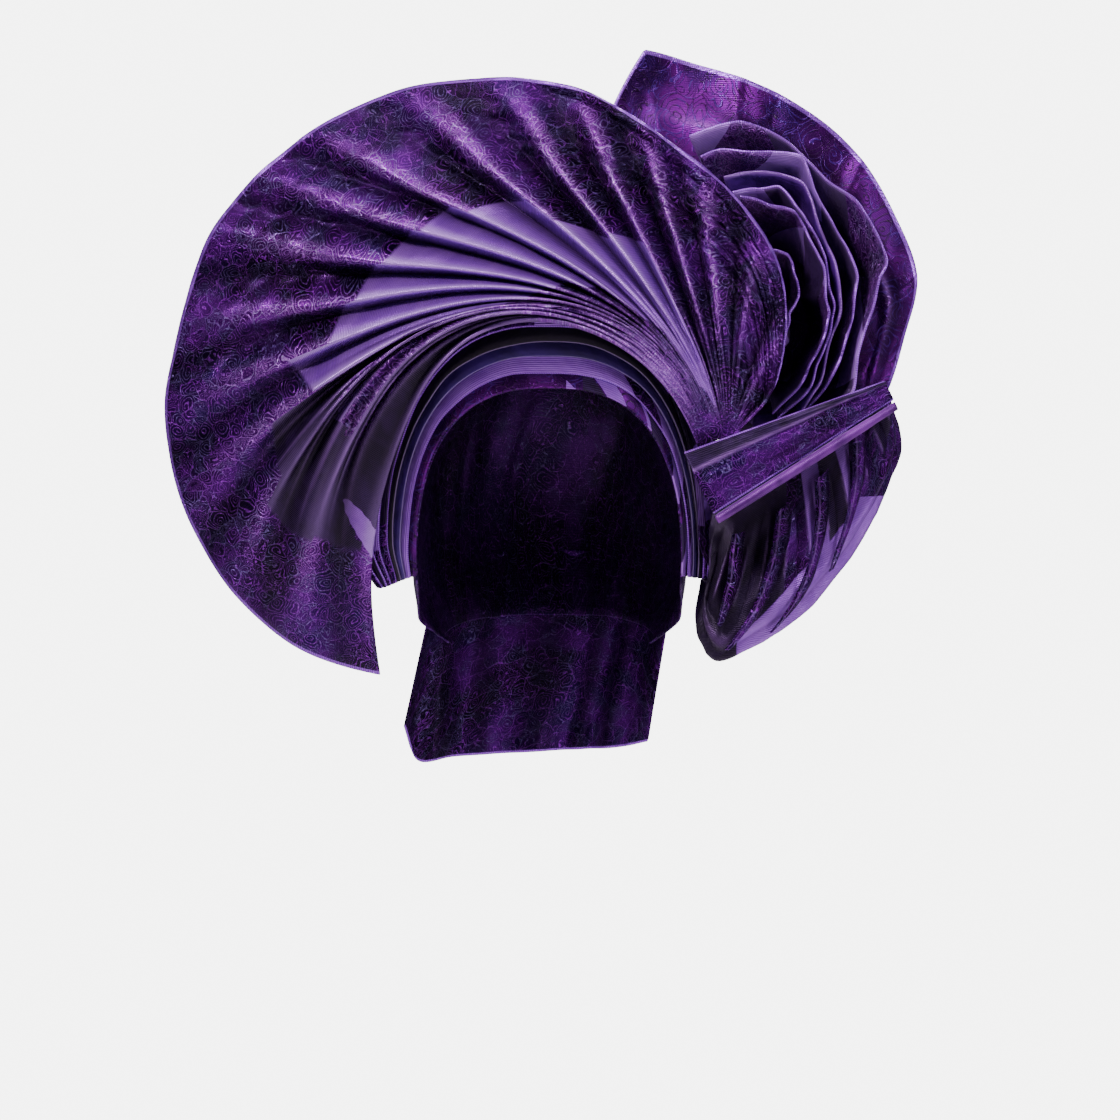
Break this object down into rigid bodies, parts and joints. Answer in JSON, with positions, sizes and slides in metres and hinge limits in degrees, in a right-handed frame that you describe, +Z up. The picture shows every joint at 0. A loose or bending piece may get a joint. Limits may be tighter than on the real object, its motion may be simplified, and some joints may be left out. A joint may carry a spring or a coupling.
{
  "type": "tied gele head tie",
  "caption": "Tied brocade gele with a wide pleated fan over the brow, a rosette of loops beside it, a standing back flap and a pouch tucked under a tie band.",
  "frame": {"origin": "inside of the crown, where the top of the head bears", "axes": "+Z up, -Y the way the face looks, +X to the wearer's left, which is the picture's right"},
  "size_m": [0.4261, 0.217, 0.4026],
  "materials": {
    "brocade": "deep purple brocade with a scroll pattern in lilac thread, a soft metallic sheen",
    "magenta": "bright magenta-purple brocade with a scroll pattern in grey lilac thread",
    "lavender": "plain lavender stripe with a fine rib weave and a satin sheen",
    "indigo": "dark indigo stripe with a fine rib weave",
    "violet": "plain violet satin ground with a soft sheen"
  },
  "bodies": {
    "root": {"head_wrap": "brocade", "brow_pleat_1": "magenta", "brow_pleat_2": "lavender", "brow_pleat_3": "indigo", "brow_pleat_4": "indigo", "brow_pleat_5": "brocade", "brow_pleat_6": "brocade", "brow_pleat_7": "brocade", "brow_pleat_8": "brocade", "pleat_fan": "brocade", "back_flap": "magenta", "rosette_fold_1": "brocade", "rosette_fold_2": "brocade", "rosette_fold_3": "brocade", "rosette_fold_4": "violet", "rosette_fold_5": "brocade", "rosette_fold_6": "brocade", "tie_band": "brocade", "tie_band_roll": "violet", "lower_puff": "brocade", "puff_pleat_1": "brocade", "puff_pleat_2": "brocade", "puff_pleat_3": "brocade", "puff_pleat_4": "brocade", "nape_tail": "brocade"}
  },
  "joints": []
}
